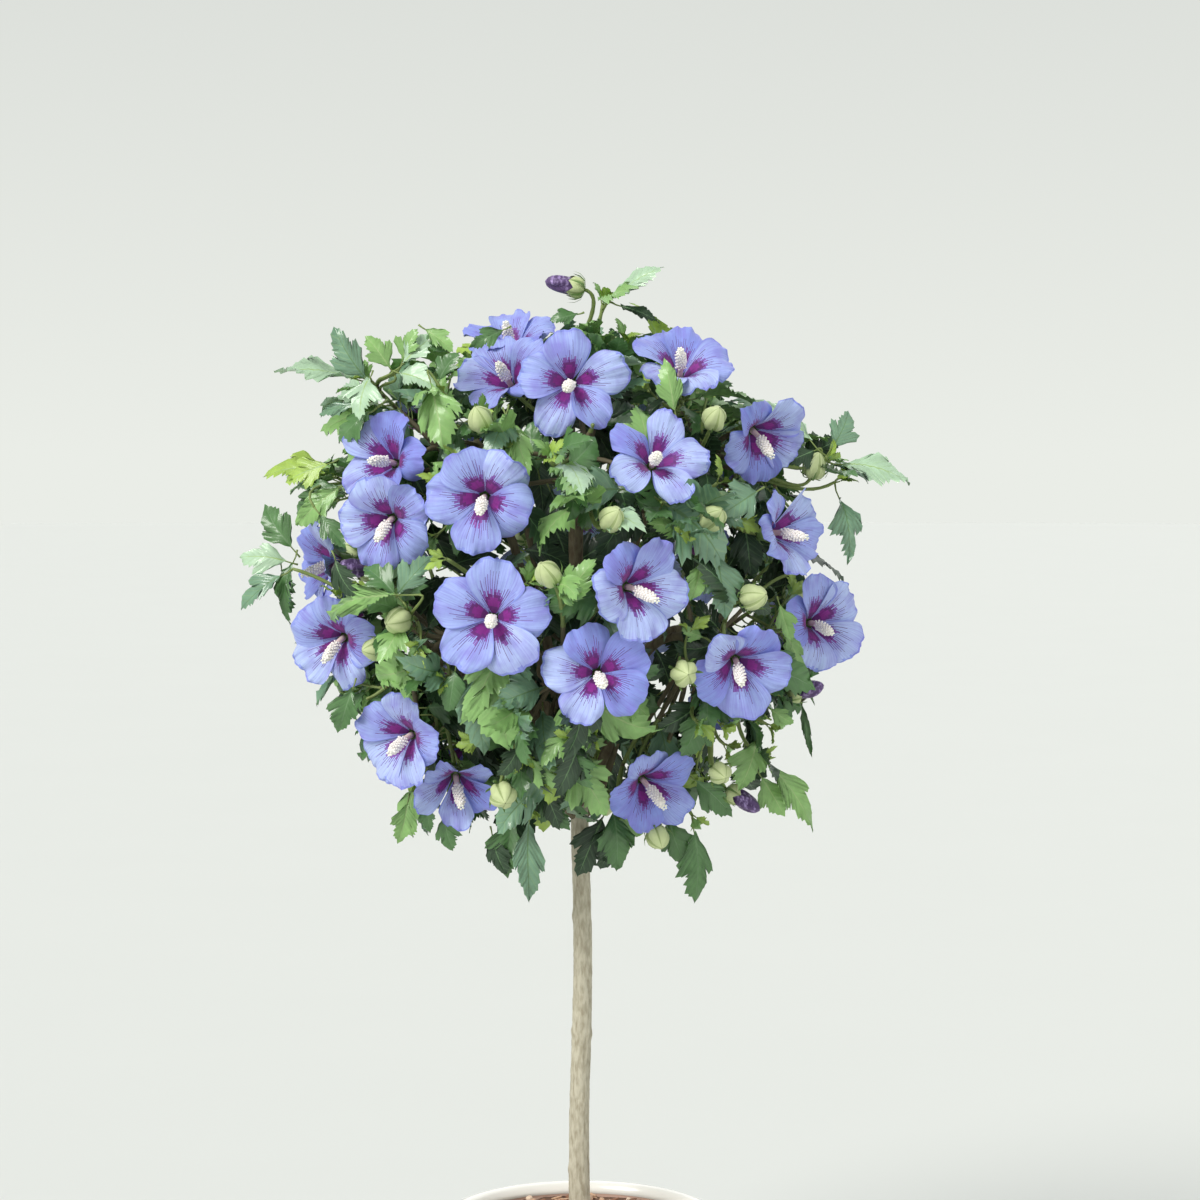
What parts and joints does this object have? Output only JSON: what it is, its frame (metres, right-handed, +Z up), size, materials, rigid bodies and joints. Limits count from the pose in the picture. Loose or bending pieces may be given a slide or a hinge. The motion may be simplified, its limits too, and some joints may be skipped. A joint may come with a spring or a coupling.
{
  "type": "potted rose of sharon",
  "caption": "Small flowering standard: one clear stem with a round, loose, flowering crown, in a tapered glazed pot.",
  "frame": {"origin": "centre of the pot's flat underside, on the surface it stands on", "axes": "+Z up along the trunk, -Y towards the side with the most open flowers, +X to the right seen from there"},
  "size_m": [0.5134, 0.4359, 0.9345],
  "materials": {
    "glaze": "glossy white glaze, pinkish clay inside",
    "soil": "matte bark chips and potting mix",
    "bark": "fine grey-brown bark with small scars",
    "foliage": "satin leaves, silky petals"
  },
  "bodies": {
    "root": {"pot": "glaze", "potting_soil": "soil", "trunk": "bark", "bough_top": "bark", "bough_upper_1": "bark", "bough_upper_2": "bark", "bough_upper_3": "bark", "bough_upper_4": "bark", "bough_upper_5": "bark", "bough_lower_1": "bark", "bough_lower_2": "bark", "bough_lower_3": "bark", "bough_lower_4": "bark", "bough_lower_5": "bark", "bough_lower_6": "bark", "foliage_top": "foliage", "foliage_upper_1": "foliage", "foliage_upper_2": "foliage", "foliage_upper_3": "foliage", "foliage_upper_4": "foliage", "foliage_upper_5": "foliage", "foliage_lower_1": "foliage", "foliage_lower_2": "foliage", "foliage_lower_3": "foliage", "foliage_lower_4": "foliage", "foliage_lower_5": "foliage", "foliage_lower_6": "foliage"}
  },
  "joints": []
}
